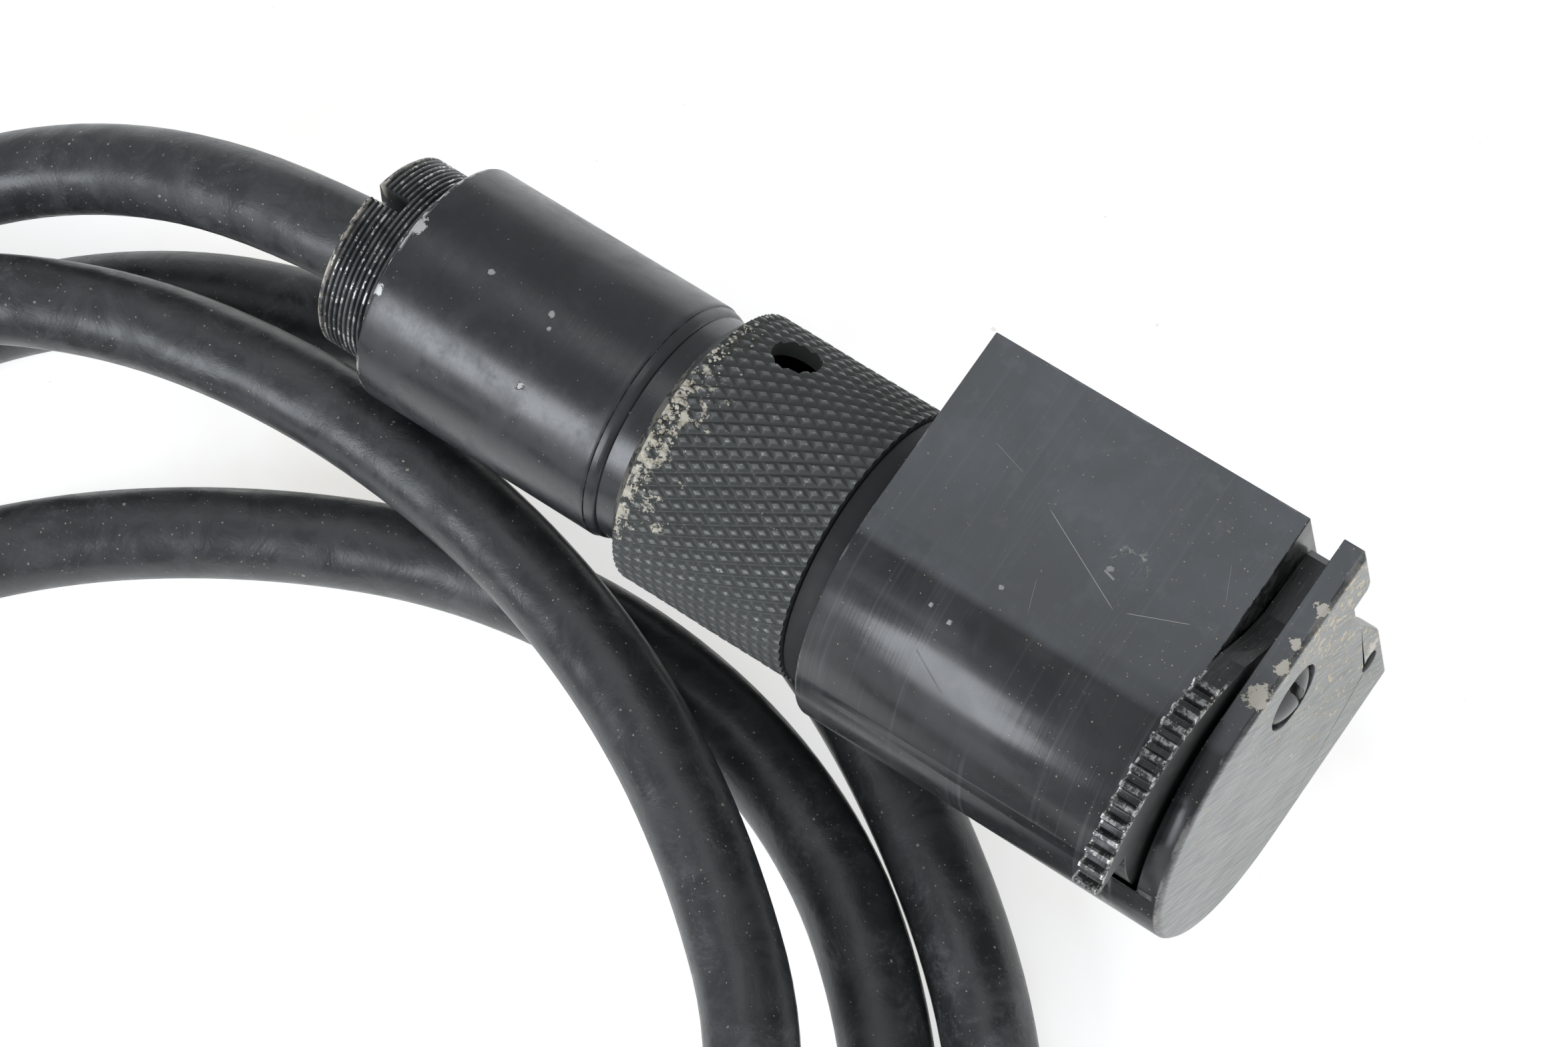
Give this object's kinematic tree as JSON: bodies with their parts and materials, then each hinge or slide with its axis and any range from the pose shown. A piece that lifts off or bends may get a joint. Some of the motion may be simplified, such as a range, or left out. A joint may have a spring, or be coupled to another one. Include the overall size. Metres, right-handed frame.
{
  "type": "cable shutter release",
  "caption": "Hand-held electric shutter release: round grip, knurled coupling nut, housing with a serrated thumb plate, on a loosely coiled cable with a plug.",
  "frame": {"origin": "the middle of the plain barrel, on its axis", "axes": "+X along the axis from the cable gland to the end plate, +Z out of the housing's upper flat, +Y out of the housing's square end"},
  "size_m": [0.1674, 0.1412, 0.0406],
  "materials": {
    "black_metal": "satin black anodised, turned, with chips at the rims",
    "thread_metal": "black thread with bright worn crests",
    "knurl_metal": "black diamond knurl with pale dirt in it",
    "dark_metal": "matt black",
    "housing_metal": "satin black, finely brushed, scratched",
    "plate_metal": "black with bright worn serrations",
    "screw_metal": "black, slightly glossy",
    "steel": "turned steel",
    "brass": "turned brass",
    "insulator": "brown moulded insulator",
    "rubber_seal": "black rubber",
    "cable_rubber": "black rubber cable, dusty and slightly bloomed",
    "core_plastic": "insulated cores",
    "boot_rubber": "black moulded rubber",
    "plug_metal": "satin black",
    "plug_knurl": "black, knurled"
  },
  "bodies": {
    "head": {"barrel": "black_metal", "gland_nut": "thread_metal", "pressure_washer": "steel", "gland_seal": "rubber_seal", "retaining_ring": "steel", "union_gasket": "rubber_seal", "head_spigot": "dark_metal", "head_body": "housing_metal", "pivot_screw": "screw_metal", "pivot_washer": "steel", "rod_bush": "brass", "switch_insulator": "insulator", "spring_seat": "insulator", "fixed_contacts": "brass", "return_spring": "steel", "cable": "cable_rubber", "cable_cores": "core_plastic", "cable_boot": "boot_rubber", "plug_body": "plug_metal", "plug_lock_ring": "steel", "plug_insert": "insulator", "plug_pins": "brass"},
    "union_nut": {"union_nut": "knurl_metal"},
    "thumb_plate": {"thumb_plate": "plate_metal"},
    "push_rod": {"push_rod": "steel", "rod_collar": "brass", "contact_bridge": "brass"},
    "plug_nut": {"plug_nut": "plug_knurl"}
  },
  "joints": [
    {"name": "thumb_plate_press", "type": "hinge", "parent": "head", "child": "thumb_plate", "pos_m": [0.0665, 0.00597, 0.00769], "axis": [1, 0, 0], "range_deg": [0, 15], "stiffness_Nm_per_rad": 0.05, "springref_deg": -11.46},
    {"name": "push_rod_slide", "type": "slide", "parent": "head", "child": "push_rod", "axis": [-1, 0, 0], "range_m": [0, 0.0012], "deforming": ["return_spring"]},
    {"name": "union_nut_turn", "type": "hinge", "parent": "head", "child": "union_nut", "pos_m": [0.024, 0, 0], "axis": [1, 0, 0], "continuous": true},
    {"name": "plug_nut_turn", "type": "hinge", "parent": "head", "child": "plug_nut", "pos_m": [0.02637, -0.08928, -0.015], "axis": [0.9946, 0.1033, 0], "continuous": true}
  ],
  "couplings": [
    {"joint": "push_rod_slide", "follows": "thumb_plate_press", "m_per_rad": 0.0045401}
  ]
}
